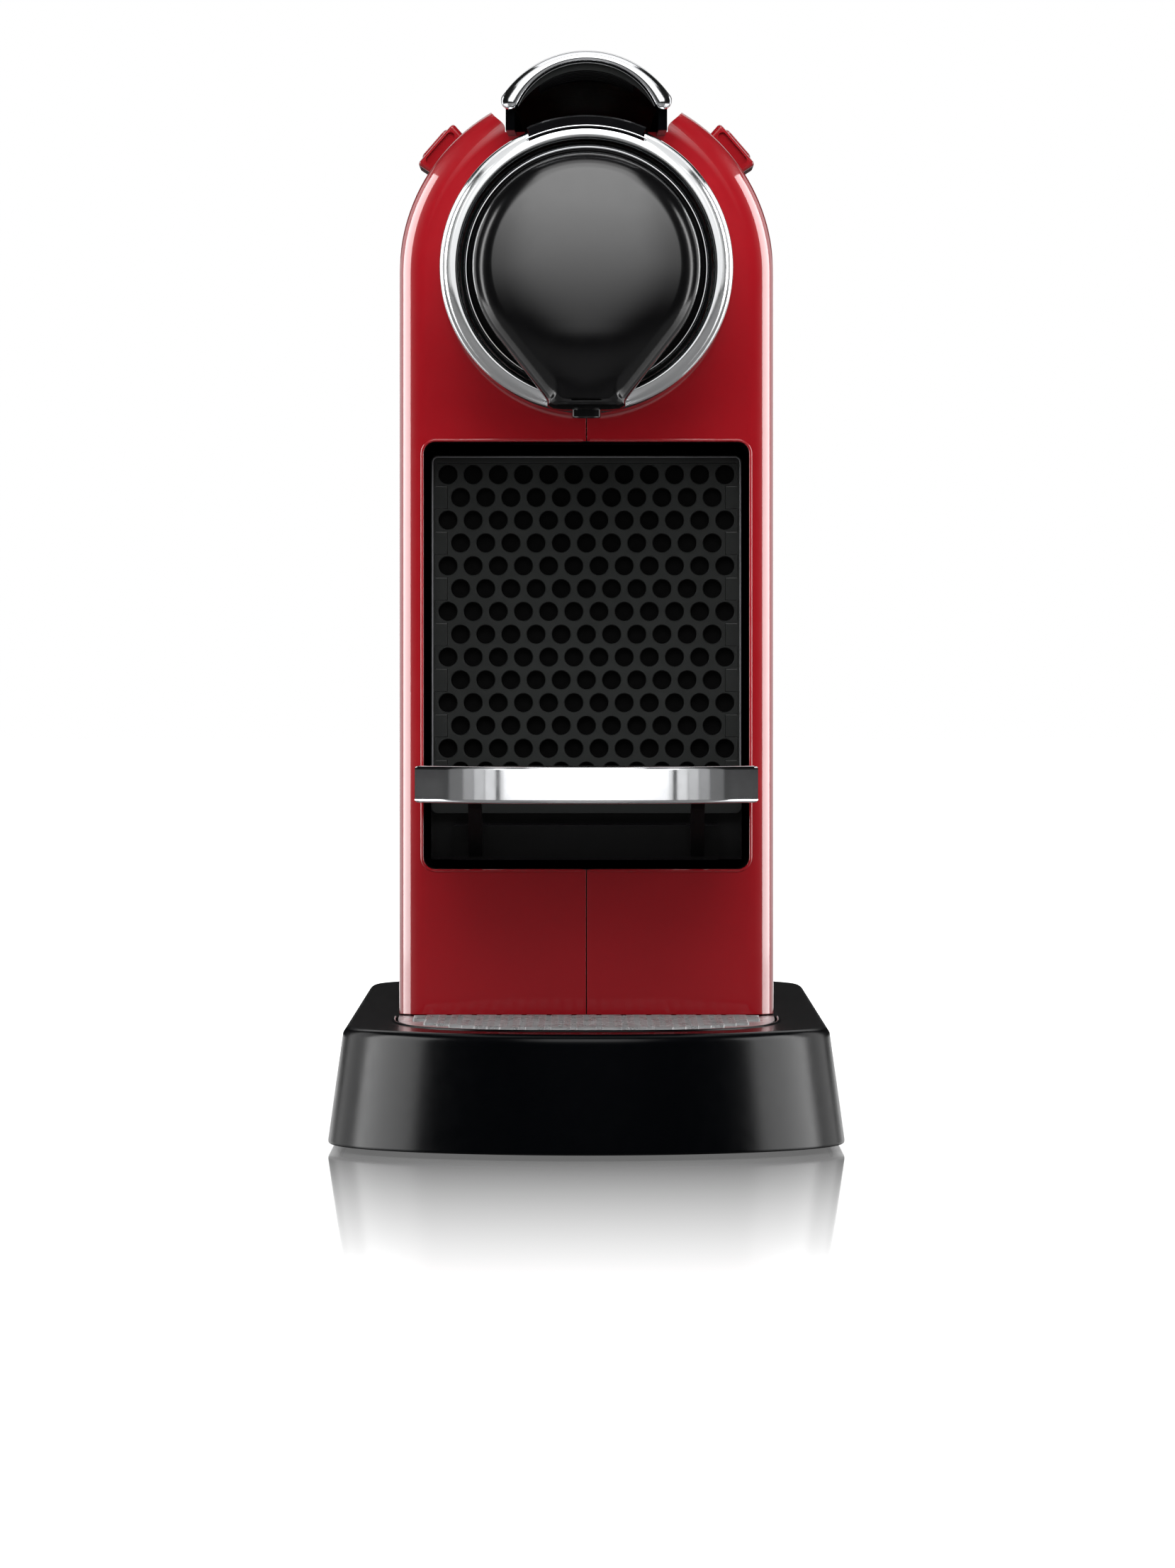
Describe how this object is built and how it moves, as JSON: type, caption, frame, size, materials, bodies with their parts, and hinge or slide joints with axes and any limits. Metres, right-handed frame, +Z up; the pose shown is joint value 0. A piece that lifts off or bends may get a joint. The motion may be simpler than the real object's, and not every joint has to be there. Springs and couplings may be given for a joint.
{
  "type": "capsule espresso machine",
  "caption": "Narrow capsule espresso machine with an arched body, a lift-up brewing lever, a folding cup support, a slide-out capsule unit and a rear water tank.",
  "frame": {"origin": "bottom centre of the whole machine, on the surface that it stands on", "axes": "+X to the right seen from the front, -Y to the front, +Z up"},
  "size_m": [0.13, 0.372, 0.2785],
  "materials": {
    "red_shell": "satin-gloss moulded",
    "black_plastic": "fine satin",
    "gloss_black": "high gloss",
    "chrome": "polished",
    "steel": "brushed",
    "rubber": "matte",
    "smoked_clear": "clear smoked",
    "grey_plastic": "matte",
    "copper_winding": "wound and varnished",
    "board_green": "printed board"
  },
  "bodies": {
    "housing": {"base_plinth": "black_plastic", "base_bottom_plate": "black_plastic", "foot_front_left": "rubber", "foot_front_right": "rubber", "foot_rear_left": "rubber", "foot_rear_right": "rubber", "cable_gland": "rubber", "body_shell_left": "red_shell", "body_shell_right": "red_shell", "lever_trough": "red_shell", "rear_panel": "black_plastic", "unit_bay": "black_plastic", "inner_chassis": "black_plastic", "head_ring": "chrome", "head_plate": "gloss_black", "head_trim_ring": "chrome", "spout_cover": "gloss_black", "coffee_outlet": "black_plastic", "slot_collar": "black_plastic", "brew_frame": "black_plastic", "extraction_plate": "steel", "button_bezel_left": "red_shell", "button_bezel_right": "red_shell", "button_switch_left": "black_plastic", "button_switch_right": "black_plastic", "tank_dock": "black_plastic", "pump_body": "steel", "pump_coil": "copper_winding", "pump_mount": "rubber", "thermoblock": "steel", "thermostat": "black_plastic", "flow_meter": "black_plastic", "control_board": "board_green", "tank_hose": "rubber", "pump_hose": "rubber", "heater_hose": "rubber", "brew_hose": "rubber"},
    "lever": {"lever_shell": "chrome", "lever_liner": "black_plastic", "lever_axle": "steel", "crank_pin": "steel"},
    "cage": {"capsule_cage": "grey_plastic"},
    "link": {"toggle_link": "steel"},
    "left_button": {"button_left": "red_shell"},
    "right_button": {"button_right": "red_shell"},
    "maintenance_unit": {"container_front": "black_plastic", "capsule_container": "black_plastic", "capsule_grate": "black_plastic", "unit_drip_tray": "black_plastic", "cup_hinge_pin_left": "steel", "cup_hinge_pin_right": "steel"},
    "cup_support": {"cup_support_tray": "black_plastic", "cup_support_bar": "chrome", "cup_support_grid": "steel"},
    "tank": {"water_tank": "smoked_clear", "tank_valve": "black_plastic", "tank_lid_pin": "steel"},
    "lid": {"tank_lid": "black_plastic"},
    "drip_tray": {"base_drip_tray": "black_plastic"},
    "drip_grid": {"base_grid": "steel"}
  },
  "joints": [
    {"name": "lever_hinge", "type": "hinge", "parent": "housing", "child": "lever", "pos_m": [0, 0.036, 0.254], "axis": [-1, 0, 0], "range_deg": [0, 95]},
    {"name": "cage_slide", "type": "slide", "parent": "housing", "child": "cage", "axis": [0, 1, 0], "range_m": [0, 0.0365]},
    {"name": "link_pivot", "type": "hinge", "parent": "cage", "child": "link", "pos_m": [0, -0.022, 0.2233], "axis": [1, 0, 0], "range_deg": [0, 27.6]},
    {"name": "left_button_press", "type": "slide", "parent": "housing", "child": "left_button", "axis": [0.7547, 0, -0.6561], "range_m": [0, 0.0015], "stiffness_N_per_m": 600, "springref_m": -0.001},
    {"name": "right_button_press", "type": "slide", "parent": "housing", "child": "right_button", "axis": [-0.7547, 0, -0.6561], "range_m": [0, 0.0015], "stiffness_N_per_m": 600, "springref_m": -0.001},
    {"name": "maintenance_unit_slide", "type": "slide", "parent": "housing", "child": "maintenance_unit", "axis": [0, -1, 0], "range_m": [0, 0.14]},
    {"name": "cup_support_fold", "type": "hinge", "parent": "maintenance_unit", "child": "cup_support", "pos_m": [0, -0.082, 0.09], "axis": [-1, 0, 0], "range_deg": [0, 90]},
    {"name": "tank_lift", "type": "slide", "parent": "housing", "child": "tank", "axis": [0, 0, 1], "range_m": [0, 0.12]},
    {"name": "tank_lid_hinge", "type": "hinge", "parent": "tank", "child": "lid", "pos_m": [0, 0.1775, 0.222], "axis": [-1, 0, 0], "range_deg": [0, 100]},
    {"name": "drip_tray_lift", "type": "slide", "parent": "housing", "child": "drip_tray", "axis": [0, 0, 1], "range_m": [0, 0.022]},
    {"name": "drip_grid_lift", "type": "slide", "parent": "drip_tray", "child": "drip_grid", "axis": [0, 0, 1], "range_m": [0, 0.016]}
  ],
  "couplings": [
    {"joint": "cage_slide", "follows": "lever_hinge", "m_per_rad": 0.0219},
    {"joint": "link_pivot", "follows": "lever_hinge", "ratio": 0.2885}
  ]
}
